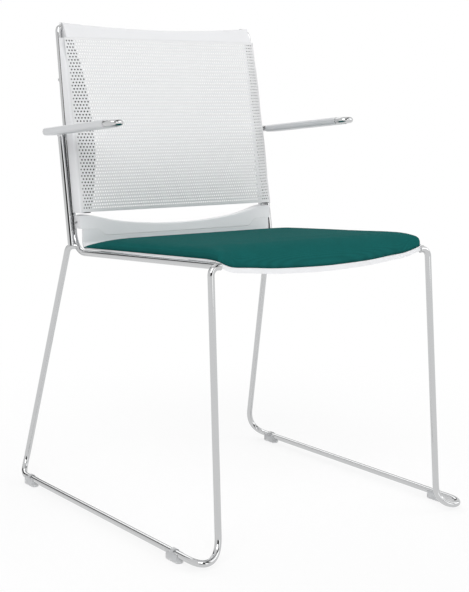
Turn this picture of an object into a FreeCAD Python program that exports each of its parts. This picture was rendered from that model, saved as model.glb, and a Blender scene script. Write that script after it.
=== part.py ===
import FreeCAD, Part
import math
import os

os.makedirs("parts", exist_ok=True)
Vector = FreeCAD.Vector

# Lengths in mm.  X runs across the chair, the sitter faces -Y, Z is up, the floor is z = 0.
# Depths (y) are first measured from the middle between the front and rear legs
# and moved by standing_shift when the pieces are written.

# whole chair
chair_height = 840.0
standing_shift = 10.15
fit_gap = 0.3
slide_gap = 0.25

# bent rods
rod_diameter = 11.0
floor_rod_height = 13.0
floor_rod_side = 275.0
front_leg_low_side = 227.6
front_leg_low_depth = 302.2
front_leg_top_side = 221.1
front_leg_top_depth = 272.3
front_leg_top_height = 455.4
rear_leg_low_side = 260.1
rear_leg_low_depth = 308.7
rear_leg_top_side = 221.7
rear_leg_top_depth = 182.3
rear_leg_top_height = 447.0
front_bend_start = 285.0
front_bend_reach = 56.0
front_bend_height = 45.0
rear_bend_start = 262.0
rear_bend_reach = 21.0
rear_bend_pull_height = 22.0
rear_bend_height = 60.0
leg_top_radius = 13.0
stub_end_side = 203.5
stub_drop = 1.2
cope_bite = 1.0

# seat and back rods
rail_front_side = 210.5
rail_height = 442.75
rail_slope_share = 0.0475
upright_foot_side = 208.5
upright_top_side = 206.5
upright_mark_depth = 212.0
upright_mark_height = 664.5
upright_lean_share = 0.1375
rail_bend_radius = 38.0
upright_top_radius = 12.0
upright_inward_run = 17.5

# arm rods and pads
arm_foot_depth = 176.0
arm_foot_height = 447.0
arm_lean_share = 0.1727
arm_mark_depth = 227.0
arm_mark_height = 646.0
arm_slope_share = 0.083
arm_loop_side = 242.5
arm_loop_width = 22.0
arm_loop_front = 32.0
arm_corner_depth = 205.5
arm_bend_radius = 10.0
arm_turn_share = 0.49
arm_inner_end_depth = 188.0
pad_wall_under = 0.75
pad_width = 34.0
pad_rear_depth = 212.4
pad_front_depth = -15.5
pad_corner_radius = 16.6
pad_front_corner_radius = 5.0
pad_edge_radius = 4.6

# glides
glide_length = 38.0
glide_width = 14.5
glide_wrap = 2.5
glide_front_setback = 52.2
glide_rear_setback = 65.7
glide_corner_radius = 6.5
glide_edge = 1.5
glide_collar_length = 8.0
glide_collar_wall = 1.6

# seat shell
shell_thickness = 3.0
shell_lip_thickness = 7.5
shell_rear_half_width = 204.0
shell_front_half_width = 209.0
shell_reach = 271.0
shell_corner_start = 265.0
shell_corner_mid_side = 205.9
shell_corner_mid_depth = 272.8
shell_corner_side = 198.2
shell_corner_reach = 276.0
shell_wall_depth = 160.5
shell_wall_radius = 10.0
shell_wall_thickness = 3.0
shell_fall_run = 42.0
shell_fall_drop = 24.6
shell_room_height = 380.0
shell_room_run = 60.0
shell_loft_half_width = 215.0
shell_outline_top_height = 500.0
ear_height = 477.0
groove_height = 463.0
step_inner_side = 157.0
step_outer_side = 173.0

# seat cushion
cushion_inset = 0.8
cushion_rear_gap = 0.7
cushion_height = 20.5
cushion_rear_height_share = 0.87
cushion_rear_roll = 90.0
cushion_rear_swell_share = 0.52
cushion_rear_face = 2.5
cushion_front_roll = 20.0
cushion_front_face = 9.0
cushion_sink = 1.0
cushion_belly_depth = 226.0
cushion_half_width = 206.0

# board inside the cushion
board_thickness = 5.0
board_half_width = 165.0
board_front_depth = 212.0
board_rear_depth = 124.0
board_corner_radius = 25.0

# cross bars, saddles and their screws
cross_bar_diameter = 10.0
front_bar_depth = 190.0
rear_bar_depth = 95.0
saddle_side = 150.0
saddle_width = 26.0
saddle_length = 40.0
saddle_floor = 3.5
saddle_edge = 2.0
saddle_screw_offset = 13.5
screw_diameter = 4.0
screw_head_diameter = 8.0
screw_head_height = 2.6
screw_hole_gap = 0.2
screw_thread_gap = 0.05
screw_end_cover = 0.8

# back
hem_height = 507.0
back_half_width = 206.0
mesh_thickness = 1.2
mesh_half_width = 205.5
outer_depth_size = 33.3
crease_depth_size = 50.0
crease_inset_size = 32.5
hollow_size = 3.0
member_foot_height = 505.0
member_outer_side = 211.5
member_front_corner_side = 208.5
member_rear_inner_side = 199.0
member_crease_wall = 5.0
member_crease_radius = 2.5
member_corner_radius = 1.5
slot_width = 16.0
slot_height = 8.6
slot_columns = 15
slot_rows = 19
slot_side_span = 308.0
slot_foot_margin = 14.0
slot_top_margin = 11.7
slot_cut_front = 130.0
slot_cut_rear = 250.0

# top rail
rail_end_drop = 27.3
rail_middle_drop = 9.0
rail_rise = 8.4
rail_rise_side = 194.0
rail_half_length = 200.5
rail_end_top_offset = -4.4
rail_middle_top_offset = -9.8
rail_end_rear_offset = 11.1
rail_middle_rear_offset = 3.6
rail_edge_radius = 2.2
rail_foot_radius = 0.9

# belt between the uprights above the seat
belt_half_length = 209.0
belt_front_lean = 2.0
belt_middle_rear_depth = 172.0
belt_middle_height = 479.0
belt_rise = 21.5
belt_edge_radius = 2.5

# back screws
back_screw_bite = 10.0
belt_screw_height = 486.0
member_low_screw_share = 0.206
member_high_screw_share = 0.762
rail_screw_side = 194.0
rail_screw_bite = 7.0

# levels of the back from hem to top, as shares of that height, with the shares
# of the outer depth, crease depth, crease inset and hollow found at each level
level_shares = (0.0, 0.1637, 0.3012, 0.4388, 0.5698, 0.704, 0.8743, 1.0)
outer_depth_shares = (1.0, 0.94, 0.928, 0.847, 0.742, 0.715, 0.568, 0.505)
crease_depth_shares = (0.646, 0.91, 1.0, 1.0, 0.914, 0.824, 0.648, 0.436)
crease_inset_shares = (0.615, 0.831, 0.954, 1.0, 0.985, 0.923, 0.8, 0.692)
hollow_shares = (0.41, 0.57, 0.69, 0.82, 0.9, 0.94, 0.98, 1.0)

# stations across the seat shell, the cushion, the top rail and the belt
shell_side_shares = (0.0, 0.25, 0.5, 0.7, 0.84, 0.93, 1.0)
shell_reach_shares = (1.0, 0.998, 0.99, 0.982, 0.986, 1.005, 1.026)
shell_drop_shares = (1.0, 0.955, 0.85, 0.685, 0.532, 0.245, 0.04)
cushion_side_shares = (0.0, 0.3, 0.6, 0.8, 0.91, 0.97, 1.0)
cushion_height_shares = (1.0, 1.0, 1.0, 0.995, 0.96, 0.82, 0.38)
rail_side_shares = (0.0, 0.25, 0.5, 0.75, 0.915, 1.0)
rail_rise_power = 1.9
belt_side_shares = (0.0, 0.24, 0.48, 0.72, 0.895, 1.0)
belt_rise_shares = (0.0, 0.056, 0.256, 0.628, 1.0, 0.953)
belt_rear_shares = (0.0, 0.0, 0.1, 0.4, 1.0, 1.0)

rod_radius = rod_diameter / 2
back_top_height = chair_height - rail_end_drop
upright_corner_height = chair_height - rod_radius
rail_middle_height = chair_height - rail_middle_drop
glide_front_depth = front_leg_low_depth - glide_front_setback
glide_rear_depth = rear_leg_low_depth - glide_rear_setback
slot_foot_height = hem_height + slot_foot_margin
slot_top_height = back_top_height - slot_top_margin


def upright_depth(height):
    return upright_mark_depth + (height - upright_mark_height) * upright_lean_share


def rail_level(depth):
    return rail_height - depth * rail_slope_share


def shell_under(depth):
    return rail_level(depth) + rod_radius + fit_gap


def shell_top(depth):
    return shell_under(depth) + shell_thickness


def arm_level(depth):
    return arm_mark_height + (arm_mark_depth - depth) * arm_slope_share


def between(first, last, share):
    return first + (last - first) * share


def upright_side(height):
    share = (height - upright_foot_height) / (upright_corner_height - upright_foot_height)
    return between(upright_foot_side, upright_top_side, share)


upright_foot_depth = ((upright_mark_depth + (rail_height - upright_mark_height) * upright_lean_share)
                      / (1 + upright_lean_share * rail_slope_share))
upright_foot_height = rail_level(upright_foot_depth)


def corner_points(before, corner, after, radius):
    back = (before - corner).normalize()
    ahead = (after - corner).normalize()
    half = back.getAngle(ahead) / 2
    reach = radius / math.tan(half)
    inward = (back + ahead).normalize()
    middle = corner + inward * (radius / math.sin(half) - radius)
    return corner + back * reach, middle, corner + ahead * reach


def bent_edges(points, radii):
    edges = []
    start = points[0]
    for before, corner, after, radius in zip(points, points[1:], points[2:], radii):
        first, middle, last = corner_points(before, corner, after, radius)
        edges.append(Part.makeLine(start, first))
        edges.append(Part.Arc(first, middle, last).toShape())
        start = last
    edges.append(Part.makeLine(start, points[-1]))
    return edges


def bend(poles):
    curve = Part.BezierCurve()
    curve.setPoles(poles)
    return curve.toShape()


def rod(edges, diameter):
    start = edges[0].valueAt(edges[0].FirstParameter)
    heading = edges[0].tangentAt(edges[0].FirstParameter)
    ring = Part.Wire(Part.makeCircle(diameter / 2, start, heading))
    return Part.Wire(edges).makePipeShell([ring], True, False)


def rounded_loop(corners, radii):
    bends = []
    count = len(corners)
    for place in range(count):
        following = corners[(place + 1) % count]
        bends.append(corner_points(corners[place - 1], corners[place], following, radii[place]))
    edges = []
    for place in range(count):
        first, middle, last = bends[place]
        edges.append(Part.Arc(first, middle, last).toShape())
        edges.append(Part.makeLine(last, bends[(place + 1) % count][0]))
    return Part.Wire(edges)


def mirrored(shape):
    return shape.mirror(Vector(0, 0, 0), Vector(1, 0, 0))


def mirrored_stations(shares):
    return [-share for share in reversed(shares[1:])] + list(shares)


def mirrored_values(values):
    return list(reversed(values[1:])) + list(values)


def box(low, high):
    size = high - low
    return Part.makeBox(size.x, size.y, size.z, low)


def on_seat(shape, depth):
    """Turns a shape into the slope of the seat with its z = 0 on the shell's underside."""
    shape.rotate(Vector(0, 0, 0), Vector(1, 0, 0), -math.degrees(math.atan(rail_slope_share)))
    shape.translate(Vector(0, depth, shell_under(depth)))
    return shape


# leg and floor rods: a stub at the top of each leg, two compound bends on the floor
def front_leg_at(height):
    share = height / front_leg_top_height
    return Vector(between(front_leg_low_side, front_leg_top_side, share),
                  between(-front_leg_low_depth, -front_leg_top_depth, share), height)


def rear_leg_at(height):
    share = height / rear_leg_top_height
    return Vector(between(rear_leg_low_side, rear_leg_top_side, share),
                  between(rear_leg_low_depth, rear_leg_top_depth, share), height)


front_stub_end = Vector(stub_end_side, -front_leg_top_depth, front_leg_top_height - stub_drop)
front_top_edges = bent_edges([front_stub_end, front_leg_at(front_leg_top_height),
                              front_leg_at(front_bend_height)], [leg_top_radius])
front_rail_start = Vector(floor_rod_side, -front_bend_start, floor_rod_height)
front_rail_pull = front_rail_start - Vector(0, front_bend_reach, 0)
rear_rail_end = Vector(floor_rod_side, rear_bend_start, floor_rod_height)
rear_rail_pull = rear_rail_end + Vector(0, rear_bend_reach, 0)
rail_bend_start_depth = upright_foot_depth - rail_bend_radius
rear_stub_target = Vector(upright_foot_side, upright_foot_depth - rail_bend_radius / 4,
                          upright_foot_height + rail_bend_radius / 3.4)
rear_top = rear_leg_at(rear_leg_top_height)
stub_heading = (rear_stub_target - rear_top).normalize()
rear_stub_end = rear_stub_target - stub_heading * cope_bite
rear_top_edges = bent_edges([rear_leg_at(rear_bend_height), rear_top, rear_stub_end],
                            [leg_top_radius])
sled_edges = list(front_top_edges)
sled_edges.append(bend([front_leg_at(front_bend_height), front_leg_at(0),
                        front_rail_pull, front_rail_start]))
sled_edges.append(Part.makeLine(front_rail_start, rear_rail_end))
sled_edges.append(bend([rear_rail_end, rear_rail_pull, rear_leg_at(rear_bend_pull_height),
                        rear_leg_at(rear_bend_height)]))
sled_edges.extend(rear_top_edges)
sled_full = rod(sled_edges, rod_diameter)

# seat and back rod: rail under the seat, lower bend, leaning upright, top bend turned inward
rail_front_depth = -front_leg_top_depth + cope_bite
rail_front = Vector(rail_front_side, rail_front_depth, rail_level(rail_front_depth))
upright_foot = Vector(upright_foot_side, upright_foot_depth, upright_foot_height)
upright_corner = Vector(upright_top_side, upright_depth(upright_corner_height), upright_corner_height)
upright_end = upright_corner - Vector(upright_inward_run, 0, 0)
back_rod_edges = bent_edges([rail_front, upright_foot, upright_corner, upright_end],
                            [rail_bend_radius, upright_top_radius])
back_rod_full = rod(back_rod_edges, rod_diameter)
back_rod_clear = rod(back_rod_edges, rod_diameter + 2 * fit_gap)
front_stub = rod(front_top_edges, rod_diameter)
front_stub_clear = rod(front_top_edges, rod_diameter + 2 * fit_gap)
sled_rod = sled_full.cut(back_rod_full.common(
    box(Vector(0, 0, 0), Vector(chair_height, chair_height, chair_height))))

# arm rod: leaning post beside the upright, outward bend, hairpin loop
arm_corner_height = arm_level(arm_corner_depth)


def arm_post_at(height):
    return Vector(upright_side(height) + rod_diameter + fit_gap,
                  arm_foot_depth + (height - arm_foot_height) * arm_lean_share, height)


def loop_point(side, depth):
    return Vector(side, depth, arm_level(depth))


outer_leg_side = arm_loop_side + arm_loop_width / 2
inner_leg_side = arm_loop_side - arm_loop_width / 2
loop_radius = arm_loop_width * arm_turn_share
arm_points = [arm_post_at(arm_foot_height), arm_post_at(arm_corner_height),
              loop_point(outer_leg_side, arm_corner_depth),
              loop_point(outer_leg_side, -arm_loop_front),
              loop_point(inner_leg_side, -arm_loop_front),
              loop_point(inner_leg_side, arm_inner_end_depth)]
arm_edges = bent_edges(arm_points, [arm_bend_radius, arm_bend_radius, loop_radius, loop_radius])
arm_rod = rod(arm_edges, rod_diameter).cut(sled_full).cut(back_rod_full)
arm_rod_clear = rod(arm_edges, rod_diameter + 2 * slide_gap)

# arm pad: flat bar with rounded corners and edges around the loop
pad_height = rod_diameter + 2 * pad_wall_under
pad_half = pad_width / 2
pad_length = pad_rear_depth - pad_front_depth
pad_loop = rounded_loop([Vector(-pad_half, 0, 0), Vector(pad_half, 0, 0),
                         Vector(pad_half, pad_length, 0), Vector(-pad_half, pad_length, 0)],
                        [pad_front_corner_radius, pad_front_corner_radius,
                         pad_corner_radius, pad_corner_radius])
pad_block = Part.Face(pad_loop).extrude(Vector(0, 0, pad_height))
pad_rims = [edge for edge in pad_block.Edges
            if abs(edge.BoundBox.ZMax - edge.BoundBox.ZMin) < pad_height / 2]
pad_block = pad_block.makeFillet(pad_edge_radius, pad_rims)
pad_block.translate(Vector(0, 0, -pad_height / 2))
pad_block.rotate(Vector(0, 0, 0), Vector(1, 0, 0), -math.degrees(math.atan(arm_slope_share)))
pad_block.translate(loop_point(arm_loop_side, pad_front_depth))
arm_pad = pad_block.cut(arm_rod_clear)


# glide: block under the floor rod with a collar round it
def glide(depth):
    half_length = glide_length / 2
    half_width = glide_width / 2
    block = Part.Face(rounded_loop(
        [Vector(-half_width, -half_length, 0), Vector(half_width, -half_length, 0),
         Vector(half_width, half_length, 0), Vector(-half_width, half_length, 0)],
        [glide_corner_radius] * 4)).extrude(Vector(0, 0, floor_rod_height + glide_wrap))
    low_rim = [edge for edge in block.Edges if edge.BoundBox.ZMax < glide_edge]
    block = block.makeChamfer(glide_edge, low_rim)
    collar_radius = rod_radius + glide_collar_wall
    collar = Part.makeCylinder(collar_radius, glide_collar_length,
                               Vector(0, -glide_collar_length / 2, floor_rod_height),
                               Vector(0, 1, 0))
    bore = Part.makeCylinder(rod_radius + slide_gap, 2 * glide_length,
                             Vector(0, -glide_length, floor_rod_height), Vector(0, 1, 0))
    body = block.fuse(collar).cut(bore).removeSplitter()
    body.translate(Vector(floor_rod_side, depth, 0))
    return body


# seat shell: one profile carried across the seat, with its own front end at each station
def share_at(side, shares):
    """Share at a side distance, straight between the shell's stations."""
    place = abs(side) / shell_loft_half_width
    value = shares[-1]
    for low, high, first, last in zip(shell_side_shares, shell_side_shares[1:], shares, shares[1:]):
        if low <= place <= high:
            value = between(first, last, (place - low) / (high - low))
    return value


def fall_drop_at(run, drop):
    """Drop below the seat plane after a run, on the circle that leaves the plane smoothly."""
    radius = (shell_fall_run ** 2 + drop ** 2) / (drop + drop)
    return radius - math.sqrt(radius ** 2 - run ** 2)


def fall_point(side, run):
    drop = shell_fall_drop * share_at(side, shell_drop_shares)
    depth = shell_fall_run - run - shell_reach * share_at(side, shell_reach_shares)
    return Vector(side, depth, shell_top(depth) - fall_drop_at(run, drop))


def seat_profile(side, lift, bottom_edges):
    up = Vector(0, 0, lift)
    fall_start = fall_point(side, 0) + up
    fall_middle = fall_point(side, shell_fall_run / 2) + up
    fall_end = fall_point(side, shell_fall_run) + up
    wall_front = shell_wall_depth - lift
    bend_start = Vector(side, wall_front - shell_wall_radius,
                        shell_top(wall_front - shell_wall_radius) + lift)
    bend_end = Vector(side, wall_front, bend_start.z + shell_wall_radius)
    bend_middle = Vector(side, wall_front - shell_wall_radius * (1 - math.sin(math.pi / 4)),
                         bend_start.z + shell_wall_radius * (1 - math.cos(math.pi / 4)))
    wall_top = Vector(side, wall_front, ear_height)
    edges = [Part.makeLine(wall_top, bend_end),
             Part.Arc(bend_end, bend_middle, bend_start).toShape(),
             Part.makeLine(bend_start, fall_start),
             Part.Arc(fall_start, fall_middle, fall_end).toShape()]
    edges.extend(bottom_edges(fall_start, fall_middle, fall_end, bend_start, bend_middle,
                              bend_end, wall_top))
    return Part.Wire(edges)


def thin_bottom(fall_start, fall_middle, fall_end, bend_start, bend_middle, bend_end, wall_top):
    down = Vector(0, 0, -shell_thickness)
    middle_down = Vector(0, 0, -(shell_thickness + shell_lip_thickness) / 2)
    back = Vector(0, shell_wall_thickness, 0)
    lip = fall_end + Vector(0, 0, -shell_lip_thickness)
    slant = (down + back) * math.cos(math.pi / 4)
    return [Part.makeLine(fall_end, lip),
            Part.Arc(lip, fall_middle + middle_down, fall_start + down).toShape(),
            Part.makeLine(fall_start + down, bend_start + down),
            Part.Arc(bend_start + down, bend_middle + slant, bend_end + back).toShape(),
            Part.makeLine(bend_end + back, wall_top + back),
            Part.makeLine(wall_top + back, wall_top)]


def deep_bottom(fall_start, fall_middle, fall_end, bend_start, bend_middle, bend_end, wall_top):
    deep_front = Vector(fall_end.x, fall_end.y, shell_room_height)
    far_back = Vector(wall_top.x, wall_top.y + shell_room_run, shell_room_height)
    high_back = Vector(far_back.x, far_back.y, wall_top.z)
    return [Part.makeLine(fall_end, deep_front), Part.makeLine(deep_front, far_back),
            Part.makeLine(far_back, high_back), Part.makeLine(high_back, wall_top)]


def across_seat(lift, bottom_edges):
    sections = [seat_profile(share * shell_loft_half_width, lift, bottom_edges)
                for share in mirrored_stations(shell_side_shares)]
    return Part.makeLoft(sections, True, False)


outline_rear = shell_wall_depth + 2 * shell_wall_thickness
rear_right = Vector(shell_rear_half_width, outline_rear, 0)
rear_left = Vector(-shell_rear_half_width, outline_rear, 0)
side_end = Vector(shell_front_half_width, -shell_corner_start, 0)
corner_mid = Vector(shell_corner_mid_side, -shell_corner_mid_depth, 0)
corner_end = Vector(shell_corner_side, -shell_corner_reach, 0)


def flipped(point):
    return Vector(-point.x, point.y, point.z)


outline = Part.Wire([
    Part.makeLine(rear_left, rear_right),
    Part.makeLine(rear_right, side_end),
    Part.Arc(side_end, corner_mid, corner_end).toShape(),
    Part.makeLine(corner_end, flipped(corner_end)),
    Part.Arc(flipped(corner_end), flipped(corner_mid), flipped(side_end)).toShape(),
    Part.makeLine(flipped(side_end), rear_left)])
outline_block = Part.Face(outline).extrude(Vector(0, 0, shell_outline_top_height))


def step_block(groove, inner, ear, outer_reach, top):
    """Upright wall region above the stepped joint between the shell and the belt."""
    corners = [Vector(-outer_reach, 0, ear), Vector(-step_outer_side, 0, ear),
               Vector(-inner, 0, groove), Vector(inner, 0, groove),
               Vector(step_outer_side, 0, ear), Vector(outer_reach, 0, ear),
               Vector(outer_reach, 0, top), Vector(-outer_reach, 0, top)]
    corners.append(corners[0])
    slab = Part.Face(Part.makePolygon(corners)).extrude(Vector(0, chair_height, 0))
    return slab


shell_wide = across_seat(0, thin_bottom).common(outline_block)
above_groove = step_block(groove_height, step_inner_side, ear_height, chair_height, chair_height)
seat_shell = shell_wide.cut(above_groove)
for tool in (back_rod_clear, front_stub_clear):
    seat_shell = seat_shell.cut(tool).cut(mirrored(tool))

# cushion: profiles across the seat, rolled down at the sides, front and rear
seat_under_cushion = across_seat(fit_gap, deep_bottom)


def cushion_profile(side_share, height_share):
    side = side_share * cushion_half_width
    end = fall_point(side, shell_fall_run)
    height = cushion_height * height_share
    rear_height = height * cushion_rear_height_share
    front = end.y + cushion_inset
    rear = shell_wall_depth - cushion_rear_gap
    rear_low = Vector(side, rear, shell_top(rear) - cushion_sink)
    rear_face = Vector(side, rear, shell_top(rear) + cushion_rear_face * height_share)
    rear_high = Vector(side, rear - cushion_rear_roll, shell_top(rear - cushion_rear_roll) + rear_height)
    rear_mid = Vector(side, rear - cushion_rear_roll * (1 - math.cos(math.pi / 4)),
                      between(rear_face.z, rear_high.z, cushion_rear_swell_share))
    front_high = Vector(side, front + cushion_front_roll,
                        shell_top(front + cushion_front_roll) + height)
    front_face = Vector(side, front, end.z + cushion_front_face * height_share)
    front_mid = Vector(side, front + cushion_front_roll * (1 - math.cos(math.pi / 4)),
                       between(front_face.z, front_high.z, math.sin(math.pi / 4)))
    front_low = Vector(side, front, end.z - cushion_sink)
    belly = Vector(side, -cushion_belly_depth, shell_top(-cushion_belly_depth) - 4 * cushion_sink)
    return Part.Wire([Part.makeLine(rear_low, rear_face),
                      Part.Arc(rear_face, rear_mid, rear_high).toShape(),
                      Part.makeLine(rear_high, front_high),
                      Part.Arc(front_high, front_mid, front_face).toShape(),
                      Part.makeLine(front_face, front_low),
                      Part.makeLine(front_low, belly),
                      Part.makeLine(belly, rear_low)])


cushion_sections = [cushion_profile(side, height) for side, height in
                    zip(mirrored_stations(cushion_side_shares),
                        mirrored_values(cushion_height_shares))]
cushion_raw = Part.makeLoft(cushion_sections, True, False)


def board_block(grown):
    half = board_half_width + grown
    loop = rounded_loop([Vector(-half, -board_front_depth - grown, 0),
                         Vector(half, -board_front_depth - grown, 0),
                         Vector(half, board_rear_depth + grown, 0),
                         Vector(-half, board_rear_depth + grown, 0)],
                        [board_corner_radius] * 4)
    block = Part.Face(loop).extrude(Vector(0, 0, board_thickness + 2 * grown))
    block.translate(Vector(0, 0, shell_thickness + fit_gap - grown))
    return on_seat(block, 0)


seat_cushion = cushion_raw.cut(seat_under_cushion).cut(board_block(fit_gap))

# cross bars, coped against the inner sides of the rails
cross_bar_radius = cross_bar_diameter / 2
bar_drop = fit_gap + cross_bar_radius


def cross_bar(depth):
    bar = Part.makeCylinder(cross_bar_radius, 2 * rail_front_side, Vector(-rail_front_side, 0, -bar_drop),
                            Vector(1, 0, 0))
    bar = on_seat(bar, depth)
    cut_bar = bar.cut(back_rod_full).cut(mirrored(back_rod_full))
    return max(cut_bar.Solids, key=lambda solid: solid.Volume)


def saddle_places():
    return [(side, depth) for depth in (-front_bar_depth, rear_bar_depth)
            for side in (-saddle_side, saddle_side)]


saddle_depth = fit_gap + cross_bar_diameter + saddle_floor


def saddle(side, depth):
    half_width = saddle_width / 2
    half_length = saddle_length / 2
    block = box(Vector(-half_width, -half_length, -saddle_depth),
                Vector(half_width, half_length, -fit_gap))
    low_rim = [edge for edge in block.Edges
               if edge.BoundBox.ZMax < -saddle_depth + saddle_edge
               or edge.BoundBox.ZLength > saddle_edge]
    block = block.makeFillet(saddle_edge, low_rim)
    groove_radius = cross_bar_radius + slide_gap
    groove = Part.makeCylinder(groove_radius, 2 * saddle_width,
                               Vector(-saddle_width, 0, -bar_drop), Vector(1, 0, 0))
    mouth = box(Vector(-saddle_width, -groove_radius, -bar_drop),
                Vector(saddle_width, groove_radius, 0))
    block = block.cut(groove.fuse(mouth))
    for offset in (-saddle_screw_offset, saddle_screw_offset):
        block = block.cut(Part.makeCylinder(screw_diameter / 2 + screw_hole_gap, 2 * saddle_depth,
                                            Vector(0, offset, -2 * saddle_depth)))
    block.translate(Vector(side, 0, 0))
    return on_seat(block, depth)


saddle_screw_top = shell_thickness + fit_gap + board_thickness - screw_end_cover


def seat_pins(radius, low, high):
    pins = []
    for side, depth in saddle_places():
        for offset in (-saddle_screw_offset, saddle_screw_offset):
            pin = Part.makeCylinder(radius, high - low, Vector(side, offset, low))
            pins.append(on_seat(pin, depth))
    return pins


saddle_shanks = seat_pins(screw_diameter / 2, -saddle_depth, saddle_screw_top)
saddle_heads = seat_pins(screw_head_diameter / 2, -saddle_depth - screw_head_height, -saddle_depth)
saddle_screws = [head.fuse(shank).removeSplitter() for head, shank in zip(saddle_heads, saddle_shanks)]
shell_holes = seat_pins(screw_diameter / 2 + screw_hole_gap, -shell_thickness, 2 * shell_thickness)
seat_shell = seat_shell.cut(Part.makeCompound(shell_holes))
board_holes = seat_pins(screw_diameter / 2 + screw_thread_gap, 0, saddle_screw_top + screw_end_cover / 2)
seat_pad_board = board_block(0).cut(Part.makeCompound(board_holes))


# back: levels from the hem to the top
def back_levels(foot):
    levels = []
    for place, share in enumerate(level_shares):
        height = between(hem_height, back_top_height, share)
        if place == 0:
            height = foot
        rod_depth = upright_depth(height)
        levels.append((height, rod_depth - outer_depth_size * outer_depth_shares[place],
                       back_half_width - crease_inset_size * crease_inset_shares[place],
                       rod_depth - crease_depth_size * crease_depth_shares[place],
                       hollow_size * hollow_shares[place]))
    return levels


def mesh_section(level, edge_side, forward, rearward):
    height, outer_y, crease_x, crease_y, hollow = level
    back = Vector(0, forward + rearward, 0)
    outer = Vector(edge_side, outer_y - forward, height)
    crease = Vector(crease_x, crease_y - forward, height)
    middle = Vector(0, crease_y + hollow - forward, height)
    return Part.Wire([Part.makeLine(outer, crease),
                      Part.Arc(crease, middle, flipped(crease)).toShape(),
                      Part.makeLine(flipped(crease), flipped(outer)),
                      Part.makeLine(flipped(outer), flipped(outer) + back),
                      Part.makeLine(flipped(outer) + back, flipped(crease) + back),
                      Part.Arc(flipped(crease) + back, middle + back, crease + back).toShape(),
                      Part.makeLine(crease + back, outer + back),
                      Part.makeLine(outer + back, outer)])


mesh_sheet = Part.makeLoft([mesh_section(level, mesh_half_width, 0, mesh_thickness)
                            for level in back_levels(hem_height)], True, False)
mesh_room = Part.makeLoft([mesh_section(level, mesh_half_width + fit_gap, outer_depth_size,
                                        mesh_thickness + fit_gap)
                           for level in back_levels(hem_height)], True, False)
slots = []
column_pitch = slot_side_span / (slot_columns - 1)
row_pitch = (slot_top_height - slot_foot_height) / (slot_rows - 1)
for column in range(slot_columns):
    for row in range(slot_rows):
        slot_middle_x = -slot_side_span / 2 + column * column_pitch
        slot_middle_z = slot_foot_height + row * row_pitch
        slots.append(box(Vector(slot_middle_x - slot_width / 2, slot_cut_front,
                                slot_middle_z - slot_height / 2),
                         Vector(slot_middle_x + slot_width / 2, slot_cut_rear,
                                slot_middle_z + slot_height / 2)))
back_mesh = mesh_sheet.cut(Part.makeCompound(slots))


# side member: fills the wedge between the mesh edge, its crease and the upright
def member_section(height, outer_y, crease_x, crease_y, hollow):
    behind = mesh_thickness + fit_gap
    rear_y = upright_depth(height) - rod_radius * math.sqrt(1 + upright_lean_share ** 2) - fit_gap
    crease = Vector(crease_x, crease_y + behind, height)
    reach = (member_front_corner_side - crease_x) / (back_half_width - crease_x)
    front = Vector(member_front_corner_side, between(crease_y, outer_y, reach) + behind, height)
    outer = Vector(member_outer_side, rear_y, height)
    inner = Vector(member_rear_inner_side, rear_y, height)
    waist = Vector(crease_x + member_crease_wall, between(crease.y, rear_y, 0.4), height)
    return rounded_loop([crease, front, outer, inner, waist],
                        [member_crease_radius, member_crease_radius, member_corner_radius,
                         member_corner_radius, member_corner_radius])


member_raw = Part.makeLoft([member_section(*level) for level in back_levels(member_foot_height)],
                           True, False)


# top rail: stations across the back, front face leaning on from the mesh
def rail_top_at(side):
    return rail_middle_height + rail_rise * (abs(side) / rail_rise_side) ** rail_rise_power


def mesh_front_at_top(side):
    height, outer_y, crease_x, crease_y, hollow = back_levels(hem_height)[-1]
    if abs(side) <= crease_x:
        return crease_y + hollow * (1 - (side / crease_x) ** 2)
    return between(crease_y, outer_y, (abs(side) - crease_x) / (back_half_width - crease_x))


def top_rail_section(side_share):
    side = side_share * rail_half_length
    spread = side_share ** 2
    low = back_top_height + fit_gap
    rod_depth = upright_depth(back_top_height)
    top_front = rod_depth + between(rail_middle_top_offset, rail_end_top_offset, spread)
    rear = rod_depth + between(rail_middle_rear_offset, rail_end_rear_offset, spread)
    top = rail_top_at(side)
    return rounded_loop([Vector(side, mesh_front_at_top(side), low), Vector(side, top_front, top),
                         Vector(side, rear, top), Vector(side, rear, low)],
                        [rail_foot_radius, rail_edge_radius, rail_edge_radius, rail_foot_radius])


top_rail_raw = Part.makeLoft([top_rail_section(share) for share in mirrored_stations(rail_side_shares)],
                             True, False)

# belt: stations across the back, lower edge stepped over the ears of the shell
belt_end_rear = rod_radius * math.sqrt(1 + upright_lean_share ** 2) + fit_gap


def belt_section(side_share, rise_share, rear_share):
    side = side_share * belt_half_length
    low = groove_height + fit_gap
    top = belt_middle_height + belt_rise * rise_share
    rear_low = between(belt_middle_rear_depth, upright_depth(low) - belt_end_rear, rear_share)
    rear_top = between(belt_middle_rear_depth, upright_depth(top) - belt_end_rear, rear_share)
    return rounded_loop([Vector(side, shell_wall_depth, low),
                         Vector(side, shell_wall_depth + belt_front_lean, top),
                         Vector(side, rear_top, top), Vector(side, rear_low, low)],
                        [rail_foot_radius, belt_edge_radius, belt_edge_radius, rail_foot_radius])


belt_sections = [belt_section(side, rise, rear) for side, rise, rear in
                 zip(mirrored_stations(belt_side_shares), mirrored_values(belt_rise_shares),
                     mirrored_values(belt_rear_shares))]
belt_raw = Part.makeLoft(belt_sections, True, False)
belt_room = step_block(groove_height + fit_gap, step_inner_side - fit_gap, ear_height + fit_gap,
                       chair_height, chair_height)


# screws of the back, square to the upright, heads behind it
def back_pin(radius, height, low, high):
    pin = Part.makeCylinder(radius, high - low, Vector(0, -low, 0), Vector(0, -1, 0))
    pin.rotate(Vector(0, 0, 0), Vector(1, 0, 0), -math.degrees(math.atan(upright_lean_share)))
    pin.translate(Vector(upright_side(height), upright_depth(height), height))
    return pin


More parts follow.
